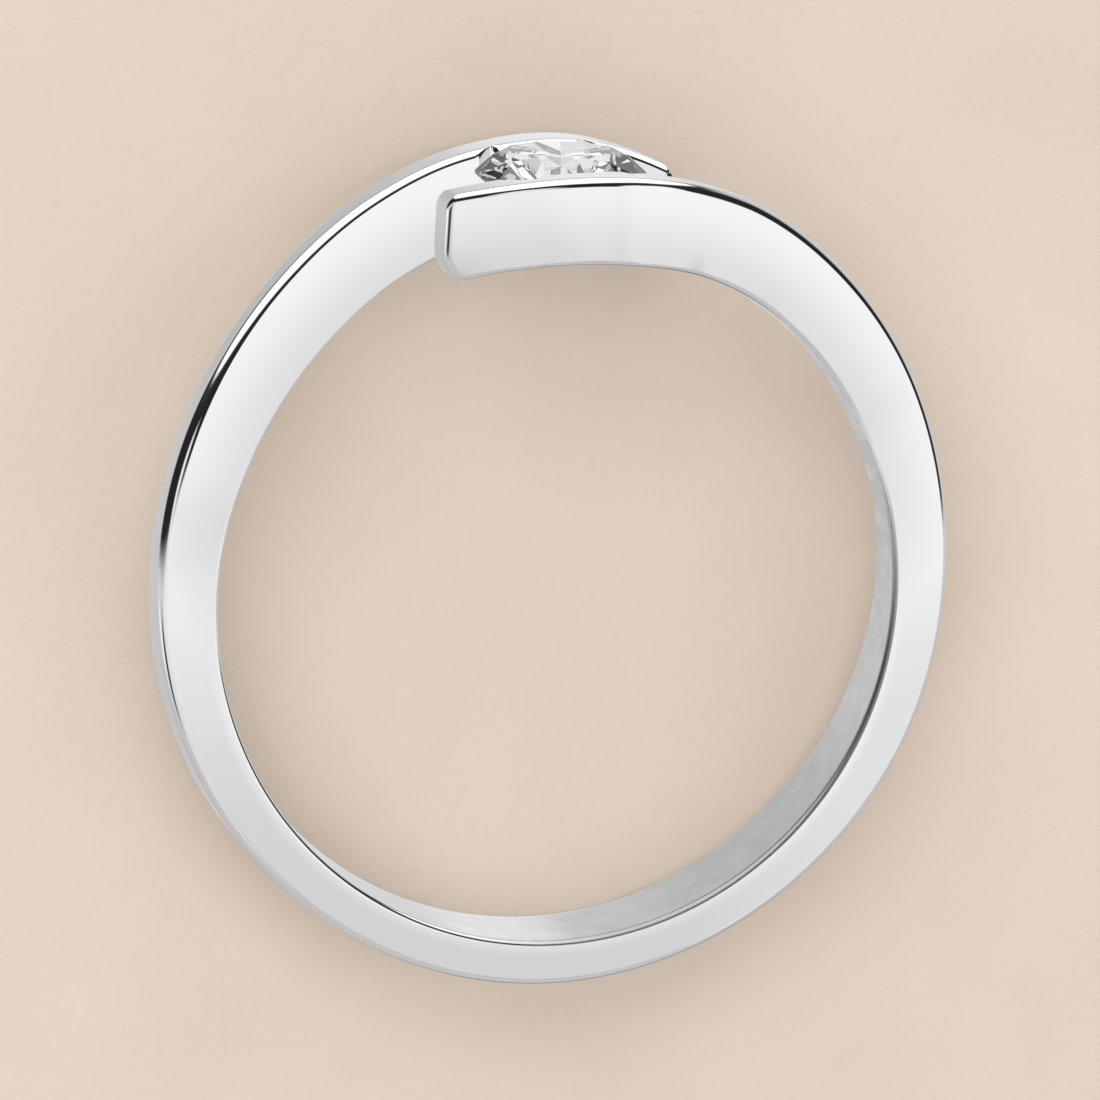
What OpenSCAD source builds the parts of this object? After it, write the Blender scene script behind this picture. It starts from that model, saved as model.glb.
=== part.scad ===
// Solitaire ring. One band passes the finger and its two ends pass each other beside a round
// brilliant, which both ends grip in a groove. The ring lies on its side, as it rests by itself.
// The ring's own frame has X across the finger hole, Y towards the stone and Z along the finger.

/* [Finger hole] */
// Inside diameter of the band
finger_d = 17; // [16:0.25:19]

/* [Shank] */
// Wall of the band opposite the stone
shank_wall = 1.1; // [1:0.05:1.3]
// Width of the band opposite the stone
shank_width = 2.24; // [1.9:0.02:2.5]
// Rounding along the band's two outer edges
edge_r = 0.18; // [0.12:0.02:0.24]

/* [Arms] */
// Wall of the front arm beside the stone
front_wall = 2.07; // [2:0.01:2.14]
// Wall of the rear arm beside the stone
rear_wall = 2.22; // [2.14:0.01:2.3]
// Width of the front arm beside the stone
front_width = 1.2; // [1.1:0.02:1.3]
// Width of the rear arm beside the stone
rear_width = 1.3; // [1.2:0.02:1.4]
// Stand-off of the front arm's mid-line from the shank's middle plane
front_shift = 2.15; // [2.05:0.05:2.3]
// Stand-off of the rear arm's mid-line from the shank's middle plane
rear_shift = 2.35; // [2.25:0.05:2.5]
// Width of both arms at their ends
tip_width = 0.84; // [0.7:0.02:0.9]
// Distance of each arm's end face past the stone's axis
tip_reach = 3.25; // [3:0.05:3.4]
// Size of the end face's corner at the outer surface
tip_corner_out = 0.4; // [0.3:0.05:0.45]
// Size of the end face's corner at the finger hole
tip_corner_in = 0.6; // [0.5:0.05:0.7]

/* [Stone] */
// Girdle diameter of the brilliant
stone_d = 4.06; // [3.9:0.02:4.2]
// Width of the table across its corners, as a share of the girdle
table_share = 0.63; // [0.56:0.01:0.65]
// Height of the table above the finger hole's wall
table_height = 2.32; // [2.3:0.01:2.4]
// Height of the crown
crown_h = 0.52; // [0.48:0.01:0.56]
// Height of the girdle
girdle_h = 0.08; // [0.06:0.01:0.1]
// Depth of the pavilion
pavilion_h = 1.58; // [1.5:0.01:1.6]
// Turn of the stone about its own axis
stone_turn = -17; // [-22:1:22]
// Clearance between the stone and its groove
seat_gap = 0.03; // [0.02:0.01:0.04]

/* [Hidden] */

// Columns of the section tables: angle from the stone, wall, width, stand-off of the mid-line
ANGLE = 0;
WALL = 1;
WIDTH = 2;
SHIFT = 3;

// Rows below 60 degrees belong to one arm. A negative angle lies past the stone.
shank_rows = [
    [60, 1.78, 0.90, 0],
    [85, 1.48, 1.26, 0],
    [115, 1.27, 1.80, 0],
    [145, 1.12, 2.12, 0],
    [180, shank_wall, shank_width, 0]
];
front_rows = concat([
    [-24, front_wall + 0.01, tip_width, 0.65],
    [-8, front_wall - 0.05, front_width - 0.05, front_shift - 0.37],
    [8, front_wall, front_width, front_shift],
    [24, front_wall, front_width - 0.12, 1.20],
    [40, 1.94, 0.95, 0.42]
], shank_rows);
rear_rows = concat([
    [-24, rear_wall - 0.32, tip_width, 1.10],
    [-8, rear_wall + 0.04, rear_width + 0.05, rear_shift],
    [8, rear_wall - 0.04, rear_width - 0.05, rear_shift - 0.02],
    [24, 2.07, rear_width - 0.22, 1.50],
    [40, 1.96, 0.90, 0.58]
], shank_rows);

finger_r = finger_d / 2;
station_step = 4;
edge_steps = 3;
bore_trim = 0.5;      // how far the swept section reaches into the finger hole before it is bored
arm_ease = 0.02;      // how far the arms' inner walls stand back from the hoop's
ease_angle = 39;      // where the easing starts, from the stone
cut_length = 9;       // longer than the ring is deep
corner_steps = 6;
corner_rise = 1.4;    // height of an end face corner, as a share of its size along the surface

stone_r = stone_d / 2;
table_r = stone_r * table_share;
table_y = finger_r + table_height;
girdle_top_y = table_y - crown_h;
girdle_low_y = girdle_top_y - girdle_h;
culet_y = girdle_low_y - pavilion_h;
half_facet = 22.5;
star_length = 0.5;
lower_half_length = 0.76;
// Each kite facet and each pavilion main is flat, which sets the heights of the points between them
star_r = table_r * cos(half_facet) + star_length * (stone_r - table_r * cos(half_facet));
star_y = table_y - (star_r * cos(half_facet) - table_r) * crown_h / (stone_r - table_r);
lower_r = stone_r * (1 - lower_half_length);
lower_y = culet_y + lower_r * cos(half_facet) * pavilion_h / stone_r;

// Relief beside the groove, at both ends of its grip on each arm
relief_r = stone_r + 0.2;
relief_from_x = 1.0;
relief_depth = 0.12;

// Slope of column c at row i: the mean of the slopes beside it, each weighed by the other's span
function slope_between(rows, i, c) =
    (rows[i + 1][c] - rows[i][c]) / (rows[i + 1][ANGLE] - rows[i][ANGLE]);
function slope_at(rows, i, c) =
    i == 0 ? slope_between(rows, 0, c) :
    i == len(rows) - 1 ? 0 :
    let (before = rows[i][ANGLE] - rows[i - 1][ANGLE],
         after = rows[i + 1][ANGLE] - rows[i][ANGLE])
    (before * slope_between(rows, i, c) + after * slope_between(rows, i - 1, c)) / (before + after);

// Column c at angle a, on a cubic through the rows
function row_before(rows, a, i = 0) =
    i < len(rows) - 2 && a > rows[i + 1][ANGLE] ? row_before(rows, a, i + 1) : i;
function at(rows, a, c) =
    let (i = row_before(rows, a),
         span = rows[i + 1][ANGLE] - rows[i][ANGLE],
         t = (a - rows[i][ANGLE]) / span)
    (2 * t^3 - 3 * t^2 + 1) * rows[i][c] + (t^3 - 2 * t^2 + t) * span * slope_at(rows, i, c)
    + (3 * t^2 - 2 * t^3) * rows[i + 1][c] + (t^3 - t^2) * span * slope_at(rows, i + 1, c);

// A turn round the ring starts at the front arm's end, at rows[0], and stops at the rear arm's end.
// Past the middle of the shank it runs back along the rear arm, whose stand-off is the other way.
first_angle = front_rows[0][ANGLE];
turn = [for (a = [first_angle : station_step : 180]) a];
stations = concat([for (a = turn) [a, 1]], [for (i = [len(turn) - 2 : -1 : 0]) [turn[i], -1]]);
function rows_of(side) = side > 0 ? front_rows : rear_rows;

// Section of the band: [radius, height] from the front face's inner edge round the outer surface
function edge_arc(r, z, from) =
    [for (i = [0 : edge_steps]) let (b = from - 90 * i / edge_steps)
        [r - edge_r + edge_r * cos(b), z + edge_r * sin(b)]];
function section(side, a, inner_r) =
    let (rows = rows_of(side), r = finger_r + at(rows, a, WALL), half = at(rows, a, WIDTH) / 2,
         mid = side * at(rows, a, SHIFT))
    concat([[inner_r, mid + half]],
           edge_arc(r, mid + half - edge_r, 90),
           edge_arc(r, mid - half + edge_r, 0),
           [[inner_r, mid - half]]);
function on_ring(side, a, rz) = [side * rz[0] * sin(a), rz[0] * cos(a), rz[1]];
function ring_points(inner_r) =
    [for (s = stations) for (rz = section(s[1], s[0], inner_r)) on_ring(s[1], s[0], rz)];

// The ring tips until the rear arm and the shank opposite it both touch the surface below
metal = ring_points(finger_r);
stone_half = [for (p = metal) if (p[1] > 0) p];
shank_half = [for (p = metal) if (p[1] < 0) p];
function height(p, tilt) = p[1] * sin(tilt) + p[2] * cos(tilt);
function lowest(points, tilt) =
    let (low = min([for (p = points) height(p, tilt)]))
    [for (p = points) if (height(p, tilt) == low) p][0];
function settled(tilt, turns) =
    turns == 0 ? tilt :
    let (a = lowest(stone_half, tilt), b = lowest(shank_half, tilt))
    settled(atan((b[2] - a[2]) / (a[1] - b[1])), turns - 1);
rest_tilt = settled(5, 4);
rest_z = height(lowest(metal, rest_tilt), rest_tilt);
lying_x = [for (p = metal) p[0]];
lying_y = [for (p = metal) p[1] * cos(rest_tilt) - p[2] * sin(rest_tilt)];
mid_x = (min(lying_x) + max(lying_x)) / 2;
mid_y = (min(lying_y) + max(lying_y)) / 2;

// Lays the ring's own frame down on the surface, with the middle of its box over the origin
module lie_down() {
    translate([-mid_x, -mid_y, -rest_z]) rotate([rest_tilt, 0, 0]) children();
}

// Stands a shape that is drawn along Z on the stone's axis
module along_stone_axis() {
    rotate([-90, 0, 0]) children();
}

// One closed skin swept through all the sections, with a flat cap on each end
module swept_band() {
    count = len(section(1, 0, finger_r));
    last = (len(stations) - 1) * count;
    sides = [for (i = [0 : len(stations) - 2]) for (j = [0 : count - 1])
        let (k = (j + 1) % count, here = i * count, next = here + count)
        for (f = [[here + j, here + k, next + j], [next + j, here + k, next + k]]) f];
    caps = [[for (j = [count - 1 : -1 : 0]) j], [for (j = [0 : count - 1]) last + j]];
    polyhedron(ring_points(finger_r - bore_trim), concat(sides, caps), convexity = 8);
}

// The hoop is bored true, and the two arms are eased a little more, up to their ends
module finger_bore() {
    cylinder(h = cut_length, r = finger_r, center = true, $fn = 180);
}
module arm_easing() {
    intersection() {
        cylinder(h = cut_length, r = finger_r + arm_ease, center = true, $fn = 180);
        translate([-finger_r, finger_r * cos(ease_angle), -cut_length / 2])
            cube([finger_d, finger_r, cut_length]);
    }
}

// A corner's curve: from one side to the other, tangent to both at the sharp corner between them
function bend(from, sharp, to) =
    [for (i = [0 : corner_steps]) let (t = i / corner_steps)
        (1 - t)^2 * from + 2 * t * (1 - t) * sharp + t^2 * to];

// What lies past the front arm's end face, as a plate in the XY plane
module past_tip(rows) {
    outer_r = finger_r + at(rows, -asin(tip_reach / (finger_r + front_wall)), WALL);
    x = -tip_reach;
    x_out = x + tip_corner_out;
    x_in = x + tip_corner_in;
    y_out = sqrt(outer_r^2 - x^2);
    y_in = sqrt(finger_r^2 - x^2);
    beyond = x - 2;
    polygon(concat(
        [[beyond, y_in - 1], [x_in, y_in - 1]],
        bend([x_in, sqrt(finger_r^2 - x_in^2)], [x, y_in], [x, y_in + tip_corner_in * corner_rise]),
        bend([x, y_out - tip_corner_out * corner_rise], [x, y_out], [x_out, sqrt(outer_r^2 - x_out^2)]),
        [[x_out, y_out + 1], [beyond, y_out + 1]]));
}

module tip_cut(rows) {
    translate([0, 0, -0.2]) linear_extrude(cut_length / 2) past_tip(rows);
}

// The groove that grips the stone: the stone's own outline, turned about its axis with clearance
module groove() {
    along_stone_axis() rotate_extrude($fn = 96)
        polygon([
            [0, culet_y - seat_gap],
            [lower_r + seat_gap, lower_y - seat_gap],
            [stone_r + seat_gap, girdle_low_y - seat_gap],
            [stone_r + seat_gap, girdle_top_y + seat_gap],
            [star_r + seat_gap, star_y + seat_gap],
            [table_r + seat_gap, table_y + seat_gap],
            [table_r + seat_gap, table_y + 1],
            [0, table_y + 1]]);
}

// Relief cut beside the groove, left and right of the grip
module relief() {
    difference() {
        along_stone_axis() translate([0, 0, girdle_low_y - relief_depth])
            cylinder(h = 2, r = relief_r, $fn = 96);
        translate([-relief_from_x, 0, -cut_length / 2]) cube([2 * relief_from_x, 20, cut_length]);
    }
}

module band() {
    color("silver") lie_down() difference() {
        difference() {
            swept_band();
            tip_cut(front_rows);
            rotate([0, 180, 0]) tip_cut(rear_rows);
        }
        finger_bore();
        arm_easing();
        groove();
        relief();
    }
}

// Round brilliant: table, star, kite and upper half facets, girdle, lower half facets and mains
function around(r, y, offset) =
    [for (i = [0 : 7]) let (a = 45 * i + offset + stone_turn) [r * sin(a), y, r * cos(a)]];

module stone() {
    points = concat(
        around(table_r, table_y, half_facet),
        around(star_r, star_y, 0),
        around(stone_r, girdle_top_y, 0),
        around(stone_r, girdle_top_y, half_facet),
        around(stone_r, girdle_low_y, 0),
        around(stone_r, girdle_low_y, half_facet),
        around(lower_r, lower_y, 0),
        [[0, culet_y, 0]]);
    // First point of each ring in the list above
    table = 0;
    star = 8;
    top_mid = 16;
    top_main = 24;
    low_mid = 32;
    low_main = 40;
    lower = 48;
    culet = 56;
    faces = concat(
        [[for (i = [7 : -1 : 0]) table + i]],
        [for (i = [0 : 7]) let (n = (i + 1) % 8)
            for (f = [
                [table + (i + 7) % 8, table + i, star + i],
                [table + i, star + n, top_main + i, star + i],
                [star + i, top_main + i, top_mid + i],
                [star + n, top_mid + n, top_main + i],
                [top_mid + i, top_main + i, low_main + i, low_mid + i],
                [top_main + i, top_mid + n, low_mid + n, low_main + i],
                [low_mid + i, low_main + i, lower + i],
                [low_main + i, low_mid + n, lower + n],
                [lower + i, low_main + i, lower + n, culet]
            ]) f]);
    color("white") lie_down() polyhedron(points, faces, convexity = 2);
}

band();
stone();
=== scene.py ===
"""Looks of a bypass solitaire ring: one polished band, whose two ends hold a round brilliant.

Lengths are in millimetres in the ring's own frame, with X across the finger hole, Y towards the stone
and Z along the finger. Couch lays that frame down on the floor, in metres.
"""

import logging
import math
from dataclasses import dataclass, field
from enum import Enum
from typing import NamedTuple

import bpy
import numpy as np
from mathutils import Matrix, Vector

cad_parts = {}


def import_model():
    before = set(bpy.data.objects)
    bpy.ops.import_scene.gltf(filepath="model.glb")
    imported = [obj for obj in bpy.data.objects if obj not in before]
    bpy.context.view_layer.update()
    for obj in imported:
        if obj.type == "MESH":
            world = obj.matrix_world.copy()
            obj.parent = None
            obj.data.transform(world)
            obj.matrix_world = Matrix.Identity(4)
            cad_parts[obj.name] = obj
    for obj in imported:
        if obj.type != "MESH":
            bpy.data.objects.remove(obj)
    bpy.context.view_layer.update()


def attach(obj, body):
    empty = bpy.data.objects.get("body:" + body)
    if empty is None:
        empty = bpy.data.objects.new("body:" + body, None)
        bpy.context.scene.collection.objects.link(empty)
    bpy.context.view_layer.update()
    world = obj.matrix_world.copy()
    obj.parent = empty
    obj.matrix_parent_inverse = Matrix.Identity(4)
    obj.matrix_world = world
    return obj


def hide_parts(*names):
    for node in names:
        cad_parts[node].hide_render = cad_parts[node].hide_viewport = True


LOG = logging.getLogger("solitaire")
MM = 0.001
FINGER_R = 8.5


def linear(code: str) -> tuple[float, float, float, float]:
    """Turns an sRGB hex colour into linear light, by the standard's straight foot and power curve.

    Args:
        code: six hex digits after a hash sign.

    Returns:
        Red, green, blue and an alpha of one.
    """
    parts = [int(code[i : i + 2], 16) / 255 for i in (1, 3, 5)]
    light = [c / 12.92 if c <= 0.04045 else ((c + 0.055) / 1.055) ** 2.4 for c in parts]
    return (light[0], light[1], light[2], 1.0)


def add_node(tree: bpy.types.NodeTree, kind: str, settings: dict, links: dict) -> bpy.types.Node:
    """Adds one node with its settings and its links.

    Args:
        tree: node tree that takes the node.
        kind: Blender's name of the node type.
        settings: values of the node's properties, or of its inputs where the key names or numbers one.
        links: for each input, by name or number, the output socket that feeds it.

    Returns:
        The new node.
    """
    node = tree.nodes.new(kind)
    for key, value in settings.items():
        if isinstance(key, str) and hasattr(node, key):
            setattr(node, key, value)
        else:
            node.inputs[key].default_value = value
    for key, socket in links.items():
        tree.links.new(socket, node.inputs[key])
    return node


def blank_material(name: str) -> tuple[bpy.types.Material, bpy.types.NodeTree]:
    """Makes a material with an empty node tree.

    Args:
        name: the material's name.

    Returns:
        The material and its tree.
    """
    material = bpy.data.materials.new(name)
    material.use_nodes = True
    material.node_tree.nodes.clear()
    return material, material.node_tree


def mesh_object(name: str, points: np.ndarray, faces: list[list[int]], smooth: bool) -> bpy.types.Object:
    """Makes an object at the origin from points in the row's frame.

    Args:
        name: object name.
        points: metres, one row a point.
        faces: point numbers, one row a face.
        smooth: whether its faces are shaded smooth.

    Returns:
        The object, linked to the scene.
    """
    mesh = bpy.data.meshes.new(name)
    mesh.from_pydata(points.tolist(), [], faces)
    mesh.polygons.foreach_set("use_smooth", np.full(len(mesh.polygons), smooth))
    mesh.update()
    thing = bpy.data.objects.new(name, mesh)
    bpy.context.scene.collection.objects.link(thing)
    return thing


def bearing(azimuth: float, elevation: float) -> np.ndarray:
    """Unit direction in the ring's frame: azimuth from Z towards X and elevation towards Y, in degrees."""
    a, e = math.radians(azimuth), math.radians(elevation)
    return np.array([math.sin(a) * math.cos(e), math.sin(e), math.cos(a) * math.cos(e)])


def smooth_step(x: np.ndarray, low: float, high: float) -> np.ndarray:
    """Rises from 0 to 1 between low and high, level at both: three times the square less twice the cube."""
    t = np.clip((x - low) / (high - low), 0.0, 1.0)
    return t * t * (3.0 - 2.0 * t)


def smooth_max(a: np.ndarray, b: np.ndarray, width: float) -> np.ndarray:
    """Larger of two, rounded where they meet: half of a, b and the root of gap squared plus width squared."""
    return 0.5 * (a + b + np.sqrt((a - b) ** 2 + width**2))


class Section(NamedTuple):
    """One row of the band: its angle from the stone in degrees, and sizes in millimetres.

    The sizes are the wall, the width, the stand-off of its mid-line and the rounding of its outer edges.
    """

    angle: float
    wall: float
    width: float
    shift: float
    edge: float


SHANK = (
    Section(60, 1.78, 0.90, 0, 0.25),
    Section(85, 1.48, 1.26, 0, 0.27),
    Section(115, 1.27, 1.80, 0, 0.22),
    Section(145, 1.12, 2.12, 0, 0.20),
    Section(180, 1.10, 2.24, 0, 0.18),
)
FRONT_ARM = (
    Section(-24, 2.08, 0.84, 0.65, 0.18),
    Section(-8, 2.02, 1.15, 1.78, 0.18),
    Section(8, 2.07, 1.20, 2.15, 0.20),
    Section(24, 2.07, 1.08, 1.20, 0.27),
    Section(40, 1.94, 0.95, 0.42, 0.28),
)
REAR_ARM = (
    Section(-24, 1.90, 0.84, 1.10, 0.18),
    Section(-8, 2.26, 1.35, 2.35, 0.18),
    Section(8, 2.18, 1.25, 2.33, 0.20),
    Section(24, 2.07, 1.08, 1.50, 0.21),
    Section(40, 1.96, 0.90, 0.58, 0.22),
)


class Arm(Enum):
    """The band's two arms. The rear one is made as the front one is, and then turned half round about Y."""

    FRONT = 1.0
    REAR = -1.0

    def rows(self) -> tuple[Section, ...]:
        """Rows from the arm's end to the middle of the shank."""
        return (FRONT_ARM if self is Arm.FRONT else REAR_ARM) + SHANK

    def turned(self, points: np.ndarray) -> np.ndarray:
        """Points in the arm's own place: for the rear arm, X and Z change sign."""
        return points * np.array([self.value, 1.0, self.value])


@dataclass
class Sweep:
    """Sizes of the band between its rows, on a cubic whose slope at a row weighs the spans beside it."""

    rows: tuple[Section, ...]

    def at(self, angle: np.ndarray) -> tuple[np.ndarray, np.ndarray, np.ndarray, np.ndarray]:
        """Reads the band at any angle.

        Args:
            angle: degrees from the stone.

        Returns:
            Wall, width, stand-off and edge rounding, each in angle's own shape.
        """
        knots = np.array([row.angle for row in self.rows], float)
        values = np.array([row[1:] for row in self.rows], float)
        span = np.diff(knots)
        slope = np.diff(values, axis=0) / span[:, None]
        bend = np.zeros_like(values)
        bend[0] = slope[0]
        before, after = span[:-1, None], span[1:, None]
        bend[1:-1] = (before * slope[1:] + after * slope[:-1]) / (before + after)
        i = np.clip(np.searchsorted(knots, angle, side="left") - 1, 0, len(span) - 1)
        t = ((angle - knots[i]) / span[i])[..., None]
        h = span[i][..., None]
        out = (
            (2 * t**3 - 3 * t**2 + 1) * values[i]
            + (t**3 - 2 * t**2 + t) * h * bend[i]
            + (3 * t**2 - 2 * t**3) * values[i + 1]
            + (t**3 - t**2) * h * bend[i + 1]
        )
        return out[..., 0], out[..., 1], out[..., 2], out[..., 3]


@dataclass
class Couch:
    """How the ring lies: tipped about X until the rear arm and the shank opposite it touch the floor."""

    finger_r: float = FINGER_R
    step: float = 4.0
    edge_points: int = 4
    first_tilt: float = 5.0
    rounds: int = 4
    tilt: float = field(default=0.0, init=False)
    middle_y: float = field(default=0.0, init=False)
    lowest_z: float = field(default=0.0, init=False)

    def settle(self) -> None:
        """Finds the tilt from the band's own corner points, in a few rounds from a first guess."""
        points = np.concatenate([self._corners(arm) for arm in Arm])
        y, z = points[:, 1], points[:, 2]
        self.tilt = math.radians(self.first_tilt)
        for _ in range(self.rounds):
            height = y * math.sin(self.tilt) + z * math.cos(self.tilt)
            stone_side = np.where(y > 0, height, np.inf).argmin()
            shank_side = np.where(y < 0, height, np.inf).argmin()
            rise = z[shank_side] - z[stone_side]
            self.tilt = math.atan2(rise, y[stone_side] - y[shank_side])
        self.lowest_z = float((y * math.sin(self.tilt) + z * math.cos(self.tilt)).min())
        across = y * math.cos(self.tilt) - z * math.sin(self.tilt)
        self.middle_y = float(across.min() + across.max()) / 2

    def _corners(self, arm: Arm) -> np.ndarray:
        """Lists the points of the band's sections along one arm and half of the shank.

        Args:
            arm: the arm.

        Returns:
            Points in the ring's frame, one row a point.
        """
        rows = arm.rows()
        angle = np.arange(rows[0].angle, 180.0 + self.step / 2, self.step)
        wall, width, shift, edge = Sweep(rows).at(angle)
        outer = self.finger_r + wall
        turn = np.radians(angle)
        section = [(np.full_like(outer, self.finger_r), width / 2)]
        for lean in np.radians(np.linspace(90, 0, self.edge_points)):
            half = width / 2 - edge + edge * math.sin(lean)
            section.append((outer - edge + edge * math.cos(lean), half))
        points = [
            np.stack([radius * np.sin(turn), radius * np.cos(turn), shift + offset], axis=1)
            for radius, half in section
            for offset in (half, -half)
        ]
        return arm.turned(np.concatenate(points))

    def turn(self, vectors: np.ndarray) -> np.ndarray:
        """Turns directions from the ring's frame to the row's, by the tilt about X.

        Args:
            vectors: one direction, or one row a direction.

        Returns:
            The turned directions, in the same shape.
        """
        x, y, z = np.moveaxis(np.asarray(vectors, float), -1, 0)
        c, s = math.cos(self.tilt), math.sin(self.tilt)
        return np.stack([x, y * c - z * s, y * s + z * c], axis=-1)

    def place(self, points: np.ndarray) -> np.ndarray:
        """Moves points from the ring's frame, in millimetres, to the row's, in metres."""
        return (self.turn(points) - np.array([0.0, self.middle_y, self.lowest_z])) * MM


@dataclass
class Seat:
    """Groove that grips the stone, turned about the stone's axis, with a relief beside each grip."""

    heights: tuple[float, ...] = (8.61, 8.96, 10.19, 10.33, 10.708, 10.85, 12.0)
    radii: tuple[float, ...] = (0.0, 0.517, 2.06, 2.06, 1.636, 1.309, 1.309)
    relief_r: float = 2.28
    relief_from_x: float = 1.0
    relief_from_y: float = 10.1
    ramp_x: float = 0.06
    ramp_y: float = 0.02
    lowest_y: float = 8.0
    crease: float = 0.02

    def carve(self, x: np.ndarray, y: np.ndarray, z: np.ndarray) -> np.ndarray:
        """Pushes an arm's inner wall out to the groove.

        The groove stands off by the root of its radius squared less x squared, and the wall takes the larger.

        Args:
            x: across the finger hole.
            y: height from the finger hole's middle.
            z: stand-off of the wall from the stone's axis, positive.

        Returns:
            The new stand-off.
        """
        radius = np.interp(y, self.heights, self.radii, left=0.0)
        beside = smooth_step(np.abs(x), self.relief_from_x, self.relief_from_x + self.ramp_x)
        above = smooth_step(y, self.relief_from_y - self.ramp_y, self.relief_from_y + self.ramp_y)
        radius = radius + (self.relief_r - radius) * beside * above
        depth = radius**2 - x**2
        grooved = smooth_max(z, np.sqrt(np.maximum(depth, 0.0)), self.crease)
        return np.where((depth > 0.0) & (y > self.lowest_y), np.maximum(grooved, z), z)


@dataclass(frozen=True)
class PaintedShadeAndScuff:
    """Painted shade, mottles in it, and a scuff with a painted dark line, each from 0, none, to 1."""

    finger_r: float = FINGER_R
    # Painted shade: its reach and shares, the rim of its mottles, and where the scuff with its painted dark
    # line lies
    shade_reach: float = 1.9
    shank_share: float = 0.3
    arm_from_y: float = -3.0
    arm_to_y: float = 6.0
    palm_share: float = 0.85
    palm_rim: float = 0.4
    palm_from_y: float = -3.5
    palm_to_y: float = 2.0
    bore_rim: float = 0.1
    scuff_shade_from_x: float = -4.0
    scuff_shade_to_x: float = 2.0
    scuff_shade_to_y: float = 4.0

    def _off_finger(self, points: np.ndarray) -> np.ndarray:
        """Distance of each point from the finger hole's surface."""
        return np.hypot(points[:, 0], points[:, 1]) - self.finger_r

    def thin(self, points: np.ndarray) -> np.ndarray:
        """Painted shade, which grows towards the finger, and outside on the palm's side.

        Args:
            points: the band's points in the ring's frame.

        Returns:
            One value a point.
        """
        off = self._off_finger(points)
        arms = smooth_step(points[:, 1], self.arm_from_y, self.arm_to_y)
        share = self.shank_share + (1.0 - self.shank_share) * arms
        near = (1.0 - smooth_step(off, 0.0, self.shade_reach)) * share
        palm = 1.0 - smooth_step(points[:, 1], self.palm_from_y, self.palm_to_y)
        return np.maximum(near, self.palm_share * smooth_step(off, 0.0, self.palm_rim) * palm)

    def mottled(self, points: np.ndarray) -> np.ndarray:
        """Mottling of the painted shade in the finger hole, which ends at its rim."""
        return 1.0 - smooth_step(self._off_finger(points), 0.0, self.bore_rim)

    def scuff_and_shade(self, skin: np.ndarray, cells: int) -> np.ndarray:
        """Scuff along the shank's front inner edge, low and fading towards negative X, with a painted dark
        line.

        Args:
            skin: the band's points by station and section point.
            cells: cells across half of that edge's rounding, on both sides of the first section point.

        Returns:
            One value a point of the skin.
        """
        edge = np.zeros(skin.shape[1])
        edge[:cells] = 1.0
        edge[-cells:] = 1.0
        across = smooth_step(skin[..., 0], self.scuff_shade_from_x, self.scuff_shade_to_x)
        up = smooth_step(skin[..., 1], 0.0, self.scuff_shade_to_y)
        return (edge * across * (1.0 - up)).reshape(-1)


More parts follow.
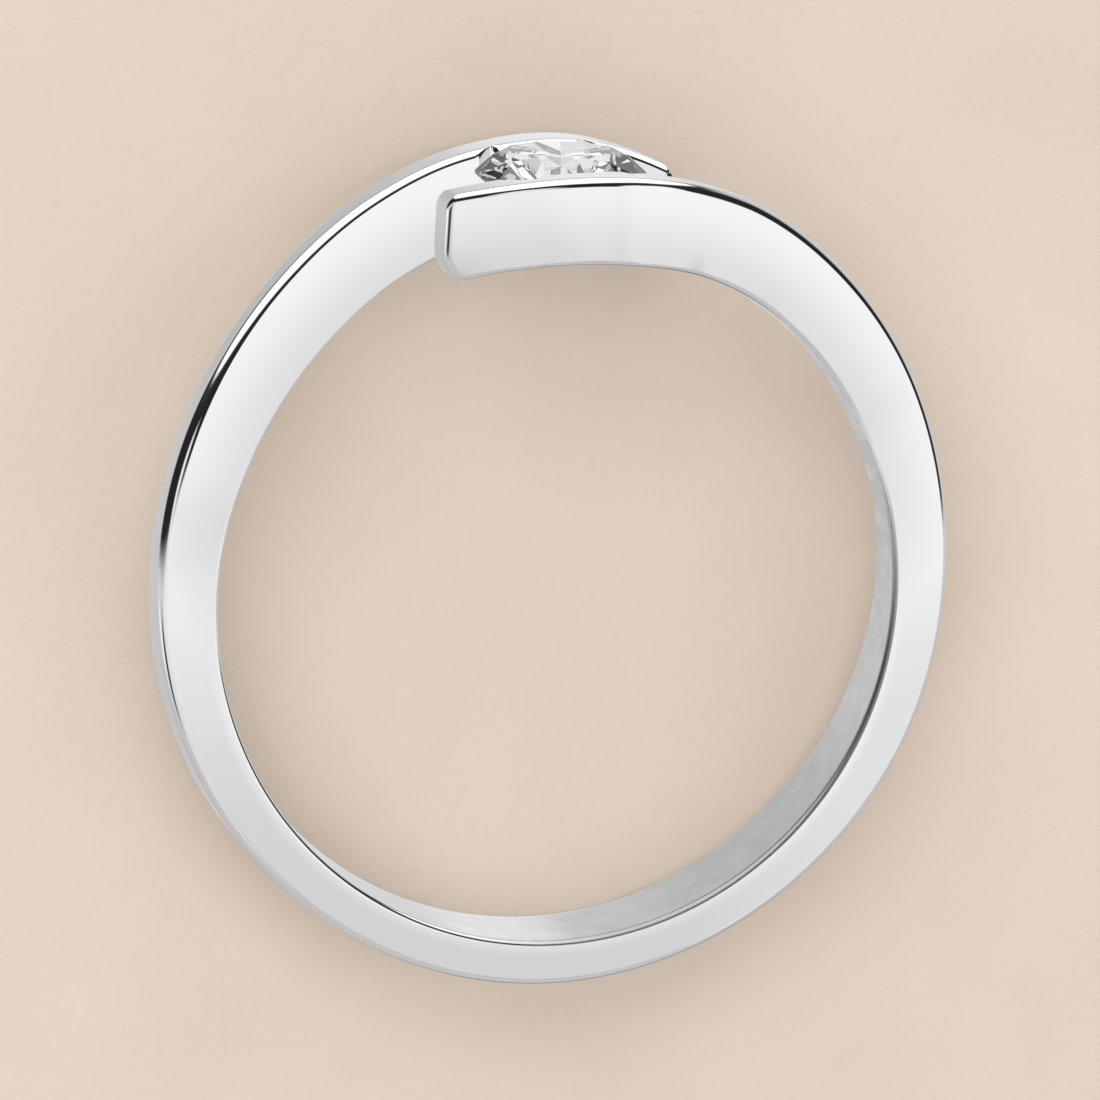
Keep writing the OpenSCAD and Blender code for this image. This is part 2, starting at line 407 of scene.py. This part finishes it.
@dataclass
class Band:
    """The one-piece band: a rounded section carried round the finger, with nearly square ends."""

    finger_r: float = FINGER_R
    inner_edge_r: float = 0.12
    shoulder: float = 7.0
    tip_reach: float = 3.25
    tip_corner_out: float = 0.25
    tip_corner_in: float = 0.6
    corner_rise: float = 1.4
    tip_edge_r: float = 0.14
    tip_blend_from: float = -2.0
    tip_rounds: int = 4
    seat_to: float = 40.0
    fine_to: float = 20.0
    fine_cells: int = 100
    shank_cells: int = 128
    side_cells: int = 40
    flat_cells: int = 10
    arc_cells: int = 3
    crowding: tuple[tuple[float, ...], ...] = ((0, 0.06, 0.94, 1), (0, 0.015, 0.985, 1))
    seat: Seat = field(default_factory=Seat)
    # Painted shade in the metal's colour, and the scuff with its painted dark line
    shade_and_scuff: PaintedShadeAndScuff = field(default_factory=PaintedShadeAndScuff)

    def _cells(self) -> tuple[int, int]:
        """Cells up a flank and across a flat, each with half of the rounding at both of its ends."""
        return self.side_cells + 2 * self.arc_cells, self.flat_cells + 2 * self.arc_cells

    def _inner_arc(self, start: float, stop: float) -> np.ndarray:
        """Makes the rows of the front inner edge's rounding, a quarter circle of fixed radius.

        Args:
            start: lean of the first point, in degrees from the finger hole's surface.
            stop: lean of the last.

        Returns:
            The six rows that the section's points are made of.
        """
        lean = np.radians(np.linspace(start, stop, self.arc_cells + 1))
        none = 0 * lean
        radius = self.finger_r + self.inner_edge_r - self.inner_edge_r * np.cos(lean)
        return np.stack([radius, none, none, none + 1, -self.inner_edge_r * (1 - np.sin(lean)), none])

    def _outer_arc(self, start: float, stop: float) -> np.ndarray:
        """Makes the rows of the front outer edge's rounding, a quarter circle as large as the sweep gives it.

        Args:
            start: lean of the first point, in degrees from the outer surface.
            stop: lean of the last.

        Returns:
            The six rows that the section's points are made of.
        """
        lean = np.radians(np.linspace(start, stop, self.arc_cells + 1))
        none = 0 * lean
        return np.stack([none, none + 1, np.cos(lean) - 1, none + 1, none, np.sin(lean) - 1])

    def _side_rows(self) -> np.ndarray:
        """Lists the section's points as constants, from the inner front corner round the outer surface.

        A point's radius is a plus b times the outer radius plus c times the edge rounding. Its stand-off is
        the mid-line's plus g times half the width plus t plus u times the edge rounding. The flanks' cells
        crowd towards their ends, and the finger hole's towards its rims.

        Returns:
            Rows a, b, c, g, t and u, with one column for each point of the closed section.
        """
        other_side = np.array([[1], [1], [1], [-1], [-1], [-1]])
        share = np.interp(np.linspace(0, 1, self.side_cells + 1), *self.crowding)
        none = 0 * share
        low = self.finger_r + self.inner_edge_r
        flank = np.stack([(1 - share) * low, share, -share, none + 1, none, none])
        low_arc, high_arc = self._inner_arc(45, 90), self._outer_arc(90, 45)
        front = np.concatenate([low_arc[:, :-1], flank, high_arc[:, 1:]], axis=1)
        back = front[:, ::-1] * other_side

        near = self._outer_arc(45, self.shoulder)
        flat = np.linspace(1, -1, self.flat_cells + 1)
        none = 0 * flat
        drop = np.where(np.abs(flat) == 1.0, near[2, -1], 0)
        level = np.stack([none, none + 1, drop, flat, none, flat * near[5, -1]])
        outer = np.concatenate([near[:, :-1], level, (near[:, ::-1] * other_side)[:, 1:]], axis=1)

        far = self._inner_arc(45, 0) * other_side
        flat = 1 - 2 * smooth_step(np.linspace(0, 1, self.flat_cells + 1), 0.0, 1.0)
        level = np.stack([none + self.finger_r, none, none, -flat, flat * self.inner_edge_r, none])
        inner = np.concatenate([far[:, :-1], level, (far[:, ::-1] * other_side)[:, 1:]], axis=1)
        return np.concatenate([side[:, :-1] for side in (front, outer, back, inner)], axis=1)

    def _stations(self) -> np.ndarray:
        """Lists the nominal angles from an arm's end to the shank's middle, finer beside the stone."""
        fine = np.linspace(-self.fine_to, self.fine_to, self.fine_cells + 1)
        return np.concatenate([fine, np.linspace(self.fine_to, 180, self.shank_cells + 1)[1:]])

    def _end_x(self, radius: np.ndarray, outer: np.ndarray, depth: np.ndarray) -> np.ndarray:
        """Reach of the end face: quarter ellipses at both surfaces and quarter circles at its sides.

        Args:
            radius: distance from the finger hole's axis.
            outer: the outer radius there.
            depth: distance in from the nearer side of the band.

        Returns:
            Distance of the end face past the stone's axis, positive.
        """
        top = np.clip(1.0 - (outer - radius) / (self.tip_corner_out * self.corner_rise), 0.0, 1.0)
        low = np.clip(1.0 - (radius - self.finger_r) / (self.tip_corner_in * self.corner_rise), 0.0, 1.0)
        side = np.clip(1.0 - depth / self.tip_edge_r, 0.0, 1.0)
        return (
            self.tip_reach
            - self.tip_corner_out * (1.0 - np.sqrt(1.0 - top**2))
            - self.tip_corner_in * (1.0 - np.sqrt(1.0 - low**2))
            - self.tip_edge_r * (1.0 - np.sqrt(1.0 - side**2))
        )

    def _half(self, arm: Arm) -> tuple[np.ndarray, np.ndarray]:
        """Carries the section from an arm's end to the middle of the shank.

        Past the blend angle each line of the section runs on to its own point of the end face, so its angle
        is the nominal one stretched to end there. Radius and angle depend on each other, so both are worked
        out a few times. The seat is cut in the inner wall alone, so a point of the front face stays.

        Args:
            arm: the arm.

        Returns:
            Points by station and section point, and points of the end face's inside, by row and column.
        """
        sweep = Sweep(arm.rows())
        a, b, c, g, t, u = self._side_rows()
        nominal = self._stations()[:, None] + 0 * a[None, :]
        angle = nominal.copy()
        for _ in range(self.tip_rounds):
            wall, width, shift, edge = sweep.at(angle)
            outer = self.finger_r + wall
            radius = a + b * outer + c * edge
            offset = g * width / 2 + t + u * edge
            depth = width / 2 - np.abs(offset)
            reach = self._end_x(radius[0], outer[0], depth[0])
            last = -np.degrees(np.arcsin(reach / radius[0]))
            part = np.clip((self.tip_blend_from - nominal) / (self.tip_blend_from - nominal[0]), 0.0, 1.0)
            angle = nominal + part * (last - nominal[0])
        turn = np.radians(angle)
        x, y, z = radius * np.sin(turn), radius * np.cos(turn), shift + offset
        z = np.where((nominal < self.seat_to) & (g < 1.0), self.seat.carve(x, y, z), z)
        loop = np.stack([radius[0], offset[0]], axis=1)
        face = self._end_face(loop, sweep, outer[0].mean(), width[0].mean())
        return arm.turned(np.stack([x, y, z], axis=-1)), arm.turned(face)

    def _end_face(self, loop: np.ndarray, sweep: Sweep, outer: float, width: float) -> np.ndarray:
        """Fills an arm's end: a patch between the four sides of its last section.

        Each inside point is the blend of front and back plus the blend of inner and outer less that of the
        corners, and then takes the end face's reach.

        Args:
            loop: radius and offset of each point of the last section.
            sweep: the arm's sizes.
            outer: outer radius at the end.
            width: width at the end.

        Returns:
            Points by column, from front to back, and row, from inner to outer, without the border.
        """
        n, m = self._cells()
        total = len(loop)
        front = loop[: n + 1]
        top = loop[n : n + m + 1]
        back = loop[n + m : 2 * n + m + 1][::-1]
        low = loop[(-np.arange(m + 1)) % total]
        s = ((top[:, 1] - top[0, 1]) / (top[-1, 1] - top[0, 1]))[:, None, None]
        t = ((front[:, 0] - front[0, 0]) / (front[-1, 0] - front[0, 0]))[None, :, None]
        patch = (1 - s) * front[None] + s * back[None] + (1 - t) * low[:, None] + t * top[:, None]
        patch -= (1 - s) * ((1 - t) * front[0] + t * front[-1]) + s * ((1 - t) * back[0] + t * back[-1])
        patch = patch[1:-1, 1:-1]
        radius, offset = patch[..., 0], patch[..., 1]
        reach = self._end_x(radius, np.full_like(radius, outer), width / 2 - np.abs(offset))
        turn = -np.arcsin(reach / radius)
        shift = sweep.at(np.degrees(turn))[2]
        return np.stack([radius * np.sin(turn), radius * np.cos(turn), shift + offset], axis=-1)

    def _cap_faces(self, border: np.ndarray, first: int, shape: tuple[int, int]) -> np.ndarray:
        """Joins an end face's inside points to the section around them.

        Args:
            border: point numbers of the section round the end.
            first: number of the first inside point.
            shape: columns and rows of the inside.

        Returns:
            Point numbers, one row a face.
        """
        n, m, total = shape[1] + 1, shape[0] + 1, len(border)
        grid = np.zeros((m + 1, n + 1), int)
        grid[1:-1, 1:-1] = first + np.arange(shape[0] * shape[1]).reshape(shape)
        grid[0] = border[: n + 1]
        grid[:, -1] = border[n : n + m + 1]
        grid[-1] = border[n + m : 2 * n + m + 1][::-1]
        grid[:, 0] = border[(-np.arange(m + 1)) % total]
        corners = [grid[:-1, :-1], grid[:-1, 1:], grid[1:, 1:], grid[1:, :-1]]
        return np.stack(corners, axis=-1).reshape(-1, 4)

    def build(self, couch: Couch) -> bpy.types.Object:
        """Builds the band as one closed skin, with its painted shade and scuff as three point attributes.

        Args:
            couch: how the ring lies.

        Returns:
            The band's object.
        """
        front, front_end = self._half(Arm.FRONT)
        rear, rear_end = self._half(Arm.REAR)
        total = front.shape[1]
        n, m = self._cells()
        # After its half turn the rear arm's section runs from the back, so its points take the front's order
        swap = (2 * n + m - np.arange(total)) % total
        skin = np.concatenate([front, rear[::-1][1:][:, swap]])
        rings = len(skin)
        number = np.arange(rings * total).reshape(rings, total)
        following = np.roll(number, -1, axis=1)
        along = np.stack([number[:-1], number[1:], following[1:], following[:-1]], axis=-1).reshape(-1, 4)
        first = rings * total
        second = first + front_end.shape[0] * front_end.shape[1]
        start = self._cap_faces(number[0], first, front_end.shape[:2])
        finish = self._cap_faces(number[-1][swap], second, rear_end.shape[:2])
        points = np.concatenate([part.reshape(-1, 3) for part in (skin, front_end, rear_end)])
        faces = np.concatenate([along, start, finish])
        # The volume, summed from tetrahedra to the ring's middle, is negative where the faces point inwards
        p, q, r, s = (points[faces[:, k]] for k in range(4))
        volume = ((p * np.cross(q, r)).sum() + (p * np.cross(r, s)).sum()) / 6
        if volume < 0:
            faces = faces[:, ::-1]
        band = mesh_object("bypass_band", couch.place(points), faces.tolist(), smooth=True)
        # Painted shade, mottles in it, and the scuff with its painted dark line, kept as point attributes
        scuff_and_shade = np.concatenate([self.shade_and_scuff.scuff_and_shade(skin, self.arc_cells), np.zeros(len(points) - first)])
        shade_and_scuff = {"painted_shade": self.shade_and_scuff.thin(points), "shade_mottle": self.shade_and_scuff.mottled(points), "scuff_shade_line": scuff_and_shade}
        for name, values in shade_and_scuff.items():
            layer = band.data.attributes.new(name, "FLOAT", "POINT")
            layer.data.foreach_set("value", values.astype(np.float32))
        LOG.info("band: %d points, %d faces, %.1f mm3", len(points), len(faces), abs(volume))
        return band

    def dress(self, band: bpy.types.Object) -> None:
        """Gives the band its metal, which mirrors the light tent and not the band itself."""
        band.data.materials.append(PolishedWhiteGold().material())
        band.visible_glossy = False


@dataclass
class Brilliant:
    """Round brilliant with table, star, kite, half and main facets, and a faceted girdle."""

    girdle_r: float = 2.03
    table_share: float = 0.63
    table_y: float = 10.82
    crown_h: float = 0.52
    girdle_h: float = 0.08
    pavilion_h: float = 1.58
    star_length: float = 0.5
    lower_half_length: float = 0.76
    turn: float = -17.0
    fold: int = 8

    def _ring(self, radius: float, y: float, offset: float) -> np.ndarray:
        """One point for each fold round the stone's axis, the first at the offset in degrees."""
        angle = np.radians(np.arange(self.fold) * 360.0 / self.fold + offset + self.turn)
        return np.stack([radius * np.sin(angle), np.full(self.fold, y), radius * np.cos(angle)], axis=1)

    def build(self, couch: Couch) -> bpy.types.Object:
        """Builds the stone from rings of points, joined by flat facets.

        The star and kite facets meet on a ring whose height keeps each kite flat, and so do the lower halves
        and the pavilion's mains.

        Args:
            couch: how the ring lies.

        Returns:
            The stone's object.
        """
        half = 180.0 / self.fold
        flat = math.cos(math.radians(half))
        table_r = self.girdle_r * self.table_share
        top = self.table_y - self.crown_h
        low = top - self.girdle_h
        culet = low - self.pavilion_h
        star_r = table_r * flat + self.star_length * (self.girdle_r - table_r * flat)
        star_y = self.table_y - (star_r * flat - table_r) * self.crown_h / (self.girdle_r - table_r)
        lower_r = self.girdle_r * (1 - self.lower_half_length)
        lower_y = culet + lower_r * flat * self.pavilion_h / self.girdle_r
        points = np.concatenate([
            self._ring(table_r, self.table_y, half),
            self._ring(star_r, star_y, 0),
            self._ring(self.girdle_r, top, 0),
            self._ring(self.girdle_r, top, half),
            self._ring(self.girdle_r, low, 0),
            self._ring(self.girdle_r, low, half),
            self._ring(lower_r, lower_y, 0),
            np.array([[0.0, culet, 0.0]]),
        ])
        star, mid, main, under_mid, under_main, lower, tip = (self.fold * k for k in range(1, 8))
        faces = [list(range(self.fold))]
        for i in range(self.fold):
            n = (i + 1) % self.fold
            faces += [
                [star + i, i, (i - 1) % self.fold],
                [star + i, main + i, star + n, i],
                [mid + i, main + i, star + i],
                [main + i, mid + n, star + n],
                [under_mid + i, under_main + i, main + i, mid + i],
                [under_main + i, under_mid + n, mid + n, main + i],
                [lower + i, under_main + i, under_mid + i],
                [lower + n, under_mid + n, under_main + i],
                [tip, lower + n, under_main + i, lower + i],
            ]
        stone = mesh_object("round_brilliant", couch.place(points), faces, smooth=False)
        LOG.info("stone: %d facets, girdle %.2f mm", len(faces), 2 * self.girdle_r)
        return stone

    def dress(self, stone: bpy.types.Object) -> None:
        """Gives the stone its diamond."""
        stone.data.materials.append(ColourlessDiamond().material())


@dataclass(frozen=True)
class PolishedWhiteGold:
    """18 ct white gold, cast, mopped to a mirror and rhodium plated.

    It gives the eye neutral white and black reflections with soft ends. Painted shade greys the metal a
    little towards the finger hole and on the palm's side, in small mottles inside the finger hole, and the
    scuffed edge blurs, with a painted dark line along it.
    """

    tint: str = "#F3F3F3"
    # Greys of the painted shade, and of the painted dark line along the scuff
    shade_tint: str = "#DCDCDD"
    shade_line_tint: str = "#B8B8BA"
    roughness: float = 0.06
    scuffed_roughness: float = 0.35
    haze_mm: float = 2.5
    haze_noise: tuple[float, float] = (0.35, 0.7)
    haze_share: tuple[float, float] = (0.7, 1.6)
    hairline_mm: float = 0.05
    hairline_um: float = 0.15
    hairline_strength: float = 0.25
    mottle_mm: float = 0.5
    mottle_noise: tuple[float, float] = (0.3, 0.7)

    def _roughness(self, tree: bpy.types.NodeTree, place: bpy.types.NodeSocket) -> bpy.types.NodeSocket:
        """Clouds the roughness a little, as a mop leaves it, and blurs the scuffed edge.

        Args:
            tree: the material's tree.
            place: Object coordinates.

        Returns:
            The roughness.
        """
        cloud = add_node(
            tree, "ShaderNodeTexNoise", {"Scale": 1 / (self.haze_mm * MM), "Detail": 3.0}, {"Vector": place}
        )
        haze = add_node(
            tree,
            "ShaderNodeMapRange",
            {
                "From Min": self.haze_noise[0],
                "From Max": self.haze_noise[1],
                "To Min": self.roughness * self.haze_share[0],
                "To Max": self.roughness * self.haze_share[1],
            },
            {"Value": cloud.outputs["Fac"]},
        )
        scuff_and_shade = add_node(tree, "ShaderNodeAttribute", {"attribute_name": "scuff_shade_line"}, {})
        roughness = add_node(
            tree,
            "ShaderNodeMix",
            {"data_type": "FLOAT", 3: self.scuffed_roughness},
            {0: scuff_and_shade.outputs["Fac"], 2: haze.outputs["Result"]},
        )
        return roughness.outputs[0]

    def _colour(self, tree: bpy.types.NodeTree, place: bpy.types.NodeSocket) -> bpy.types.NodeSocket:
        """Greys the metal with painted shade, up to twice or down to none of it in the mottles, and with a
        painted dark line along the scuffed edge.

        Args:
            tree: the material's tree.
            place: Object coordinates.

        Returns:
            The colour.
        """
        noise = add_node(
            tree, "ShaderNodeTexNoise", {"Scale": 1 / (self.mottle_mm * MM), "Detail": 5.0}, {"Vector": place}
        )
        mottle = add_node(
            tree,
            "ShaderNodeMapRange",
            {
                "From Min": self.mottle_noise[0],
                "From Max": self.mottle_noise[1],
                "To Min": -1.0,
                "To Max": 1.0,
            },
            {"Value": noise.outputs["Fac"]},
        )
        # Mottles in the painted shade, inside the finger hole only
        shade_mottle = add_node(tree, "ShaderNodeAttribute", {"attribute_name": "shade_mottle"}, {})
        share = add_node(
            tree,
            "ShaderNodeMath",
            {"operation": "MULTIPLY_ADD", 2: 1.0},
            {0: shade_mottle.outputs["Fac"], 1: mottle.outputs["Result"]},
        )
        # Painted shade towards the finger hole and on the palm's side
        painted_shade = add_node(tree, "ShaderNodeAttribute", {"attribute_name": "painted_shade"}, {})
        thin = add_node(
            tree,
            "ShaderNodeMath",
            {"operation": "MULTIPLY", "use_clamp": True},
            {0: painted_shade.outputs["Fac"], 1: share.outputs["Value"]},
        )
        tint = add_node(
            tree,
            "ShaderNodeMix",
            {"data_type": "RGBA", 6: linear(self.tint), 7: linear(self.shade_tint)},
            {0: thin.outputs["Value"]},
        )
        # Painted dark line of shade along the scuffed edge
        scuff_and_shade = add_node(tree, "ShaderNodeAttribute", {"attribute_name": "scuff_shade_line"}, {})
        colour = add_node(
            tree,
            "ShaderNodeMix",
            {"data_type": "RGBA", 7: linear(self.shade_line_tint)},
            {0: scuff_and_shade.outputs["Fac"], 6: tint.outputs[2]},
        )
        return colour.outputs[2]

    def material(self) -> bpy.types.Material:
        """Makes the metal, with the fine hairlines that a mop leaves.

        Returns:
            The material.
        """
        material, tree = blank_material("polished_white_gold")
        place = add_node(tree, "ShaderNodeTexCoord", {}, {}).outputs["Object"]
        # Real hairlines lie a few thousandths of a millimetre apart. These are ten times as coarse, to show
        grain = add_node(
            tree,
            "ShaderNodeTexNoise",
            {"Scale": 1 / (self.hairline_mm * MM), "Detail": 2.0},
            {"Vector": place},
        )
        bump = add_node(
            tree,
            "ShaderNodeBump",
            {"Strength": self.hairline_strength, "Distance": self.hairline_um * 1e-6},
            {"Height": grain.outputs["Fac"]},
        )
        shader = add_node(
            tree,
            "ShaderNodeBsdfPrincipled",
            {"Metallic": 1.0},
            {
                "Base Color": self._colour(tree, place),
                "Roughness": self._roughness(tree, place),
                "Normal": bump.outputs["Normal"],
            },
        )
        add_node(tree, "ShaderNodeOutputMaterial", {}, {"Surface": shader.outputs["BSDF"]})
        return material


@dataclass(frozen=True)
class ColourlessDiamond:
    """Cut and polished diamond: clear, with a very high index, so that its facets flash white and dark."""

    tint: str = "#FFFFFF"
    index: float = 2.417

    def material(self) -> bpy.types.Material:
        """Makes the gem, which the metal's mirror image leaves out.

        A ray that bounced off metal passes the stone by, unless it is inside it already. So the arms beside
        the stone mirror only the tent, as in the photo, and the stone keeps its own inner reflections.

        Returns:
            The material.
        """
        material, tree = blank_material("colourless_diamond")
        gem = add_node(
            tree,
            "ShaderNodeBsdfPrincipled",
            {
                "Base Color": linear(self.tint),
                "Roughness": 0.0,
                "IOR": self.index,
                "Transmission Weight": 1.0,
            },
            {},
        )
        path = add_node(tree, "ShaderNodeLightPath", {}, {})
        outside = add_node(
            tree,
            "ShaderNodeMath",
            {"operation": "LESS_THAN", 1: 0.5},
            {0: path.outputs["Transmission Depth"]},
        )
        mirrored = add_node(
            tree,
            "ShaderNodeMath",
            {"operation": "MULTIPLY"},
            {0: path.outputs["Is Glossy Ray"], 1: outside.outputs["Value"]},
        )
        clear = add_node(tree, "ShaderNodeBsdfTransparent", {}, {})
        seen = add_node(
            tree,
            "ShaderNodeMixShader",
            {},
            {0: mirrored.outputs["Value"], 1: gem.outputs["BSDF"], 2: clear.outputs["BSDF"]},
        )
        add_node(tree, "ShaderNodeOutputMaterial", {}, {"Surface": seen.outputs["Shader"]})
        return material


@dataclass(frozen=True)
class MattPaper:
    """Uncoated cream paper, pressed from fibres: matt, with faint warm clouds and a fine tooth."""

    tint: str = "#F2E1D1"
    cloud_tint: str = "#E6D3C1"
    roughness: float = 0.85
    cloud_mm: float = 7.0
    fibre_mm: float = 0.35
    fibre_high_mm: float = 0.06
    fibre_strength: float = 0.5

    def material(self) -> bpy.types.Material:
        """Makes the paper, with its clouds in the colour and its fibres in the bump.

        Returns:
            The material.
        """
        material, tree = blank_material("matt_paper")
        place = add_node(tree, "ShaderNodeTexCoord", {}, {}).outputs["Object"]
        cloud = add_node(
            tree, "ShaderNodeTexNoise", {"Scale": 1 / (self.cloud_mm * MM), "Detail": 3.0}, {"Vector": place}
        )
        fibre = add_node(
            tree, "ShaderNodeTexNoise", {"Scale": 1 / (self.fibre_mm * MM), "Detail": 2.0}, {"Vector": place}
        )
        colour = add_node(
            tree,
            "ShaderNodeMix",
            {"data_type": "RGBA", 6: linear(self.tint), 7: linear(self.cloud_tint)},
            {0: cloud.outputs["Fac"]},
        )
        bump = add_node(
            tree,
            "ShaderNodeBump",
            {"Strength": self.fibre_strength, "Distance": self.fibre_high_mm * MM},
            {"Height": fibre.outputs["Fac"]},
        )
        shader = add_node(
            tree,
            "ShaderNodeBsdfPrincipled",
            {"Roughness": self.roughness},
            {"Base Color": colour.outputs[2], "Normal": bump.outputs["Normal"]},
        )
        add_node(tree, "ShaderNodeOutputMaterial", {}, {"Surface": shader.outputs["BSDF"]})
        return material


class Patch(NamedTuple):
    """One soft-edged round patch of the light tent, in the ring's own frame: degrees and brightness."""

    azimuth: float
    elevation: float
    radius: float
    softness: float
    level: float


TENT = (
    # Fill for the front arm's end, then for its middle and for the left of the shank
    Patch(-26, -19, 19, 6, 0.94),
    Patch(2, -1, 18, 5, 1.0),
    # Dark wall over and behind the camera, which draws the black lines on the outer edges
    Patch(0, 90, 96, 3, 0.02),
    # Grey room behind the ring, which the finger hole and the outer surface mirror
    Patch(170, 0, 70, 8, 0.62),
    Patch(-168, 18, 12, 8, 0.53),
    # Paler for the lowest stretch of the finger hole, and darker for the edge under the shank
    Patch(158, 0, 18, 6, 0.72),
    Patch(161, 10, 7, 4, 0.86),
    Patch(150, -50, 20, 5, 0.3),
    # Black and white strips for the edge of the front arm's end
    Patch(-66, -20, 8, 3, 0.04),
    Patch(-91, -18, 6, 3, 1.2),
    # Dark rim, and in it the two white softboxes over the stone
    Patch(0, 88, 61, 5, 0.04),
    Patch(-50, 78, 44, 3, 1.25),
    Patch(130, 80, 44, 3, 1.25),
    # Light for the rear arm beside the stone
    Patch(-22, 1, 10, 4, 0.9),
    # White cards for the broad faces of both arms
    Patch(41, -1, 19, 3, 1.02),
    Patch(28, -3, 17, 3, 1.02),
    Patch(50, -20, 23, 3, 1.02),
    # Greys under the cards, the second for the shank's lowest face
    Patch(56, -39, 9, 4, 0.76),
    Patch(13, -20, 7, 6, 0.87),
)


@dataclass
class Studio:
    """Plain pale table in a soft light tent: white overhead, dark behind the camera, grey behind the ring."""

    table_m: float = 1.2
    tent: float = 0.71
    key_watts: float = 2.02
    key_m: float = 0.9
    key_away_m: float = 0.6
    key_azimuth: float = -25.0
    key_elevation: float = 22.0
    patches: tuple[Patch, ...] = TENT

    def table(self) -> None:
        """Makes the table as a plane through the ring's lowest point, which metal and stone don't show."""
        half = self.table_m / 2
        rim = np.array([[-half, -half, 0], [half, -half, 0], [half, half, 0], [-half, half, 0]])
        table = mesh_object("table", rim, [[0, 1, 2, 3]], smooth=False)
        table.data.materials.append(MattPaper().material())
        table.visible_glossy = False
        table.visible_transmission = False

    def key(self, couch: Couch) -> None:
        """Makes the large soft lamp that lights the table, hidden from the metal and the stone.

        Args:
            couch: how the ring lies.
        """
        data = bpy.data.lights.new("key_softbox", "AREA")
        data.shape = "DISK"
        data.size = self.key_m
        data.energy = self.key_watts
        lamp = bpy.data.objects.new("key_softbox", data)
        bpy.context.scene.collection.objects.link(lamp)
        towards = Vector(couch.turn(bearing(self.key_azimuth, self.key_elevation)))
        lamp.location = towards * self.key_away_m
        lamp.rotation_euler = towards.to_track_quat("Z", "Y").to_euler()
        lamp.visible_glossy = False
        lamp.visible_transmission = False

    def light(self, couch: Couch) -> None:
        """Lights the tent: an even glow, with each patch laid over those before it.

        A patch covers the directions whose angle from its middle is under its radius, and fades out over
        its softness on both sides of that edge.

        Args:
            couch: how the ring lies.
        """
        world = bpy.data.worlds.new("tent")
        bpy.context.scene.world = world
        world.use_nodes = True
        tree = world.node_tree
        tree.nodes.clear()
        towards = add_node(tree, "ShaderNodeTexCoord", {}, {}).outputs["Generated"]
        # The first patch lies on the tent's own glow, and each later one on the patches before it
        under: dict[str, bpy.types.NodeSocket] = {}
        for patch in self.patches:
            middle = couch.turn(bearing(patch.azimuth, patch.elevation))
            facing = add_node(
                tree,
                "ShaderNodeVectorMath",
                {"operation": "DOT_PRODUCT", 1: tuple(middle.tolist())},
                {0: towards},
            )
            blend = add_node(
                tree,
                "ShaderNodeMapRange",
                {
                    "interpolation_type": "SMOOTHSTEP",
                    "From Min": math.cos(math.radians(patch.radius + patch.softness)),
                    "From Max": math.cos(math.radians(patch.radius - patch.softness)),
                    "To Min": self.tent,
                    "To Max": patch.level,
                },
                {"Value": facing.outputs["Value"], **under},
            )
            under = {"To Min": blend.outputs["Result"]}
        background = add_node(
            tree, "ShaderNodeBackground", {"Color": linear("#FFFFFF")}, {"Strength": blend.outputs["Result"]}
        )
        add_node(tree, "ShaderNodeOutputWorld", {}, {"Surface": background.outputs["Background"]})
        bpy.context.scene.view_settings.view_transform = "Standard"


@dataclass
class Viewpoint:
    """Camera at the photograph's angle, with its place and roll in the ring's own frame.

    The ring's middle shows middle_x pixels right of the picture's middle and middle_y pixels below it.
    """

    azimuth: float = -17.15
    elevation: float = 14.06
    roll: float = 0.74
    distance: float = 120.0
    pixels_per_mm: float = 41.34
    image_px: float = 1100.0
    middle_x: float = 5.02
    middle_y: float = 42.62
    sensor_mm: float = 36.0
    near_m: float = 0.005
    far_m: float = 10.0

    def camera(self, couch: Couch) -> None:
        """Makes the scene's camera.

        Args:
            couch: how the ring lies.
        """
        back = bearing(self.azimuth, self.elevation)
        right = np.cross(-back, [0.0, 1.0, 0.0])
        right /= np.linalg.norm(right)
        up = np.cross(back, right)
        c, s = math.cos(math.radians(self.roll)), math.sin(math.radians(self.roll))
        axes = couch.turn(np.array([c * right + s * up, c * up - s * right, back]))
        eye = couch.place(back * self.distance)
        data = bpy.data.cameras.new("camera")
        data.sensor_width = self.sensor_mm
        data.lens = self.pixels_per_mm * self.distance * self.sensor_mm / self.image_px
        data.shift_x = -self.middle_x / self.image_px
        data.shift_y = self.middle_y / self.image_px
        data.clip_start = self.near_m
        data.clip_end = self.far_m
        camera = bpy.data.objects.new("camera", data)
        bpy.context.scene.collection.objects.link(camera)
        camera.matrix_world = Matrix([[*axes[:, i], eye[i]] for i in range(3)] + [[0, 0, 0, 1]])
        bpy.context.scene.camera = camera


def corners(bounds: tuple[Vector, Vector]) -> list[list[float]]:
    """Turns a box into plain lists of numbers."""
    return [[float(v) for v in corner] for corner in bounds]


def main() -> None:
    """Builds the ring, its stage and its camera."""
    logging.basicConfig(level=logging.INFO, format="%(name)s: %(message)s")
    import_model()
    couch = Couch()
    couch.settle()
    LOG.info("tilt %.3f degrees", math.degrees(couch.tilt))
    Viewpoint().camera(couch)
    metal = Band()
    band = metal.build(couch)
    metal.dress(band)
    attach(band, "root")
    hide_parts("band")
    gem = Brilliant()
    stone = gem.build(couch)
    gem.dress(stone)
    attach(stone, "root")
    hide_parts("stone")
    studio = Studio()
    studio.table()
    studio.key(couch)
    studio.light(couch)
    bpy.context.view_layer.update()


if __name__ == "__main__":
    main()
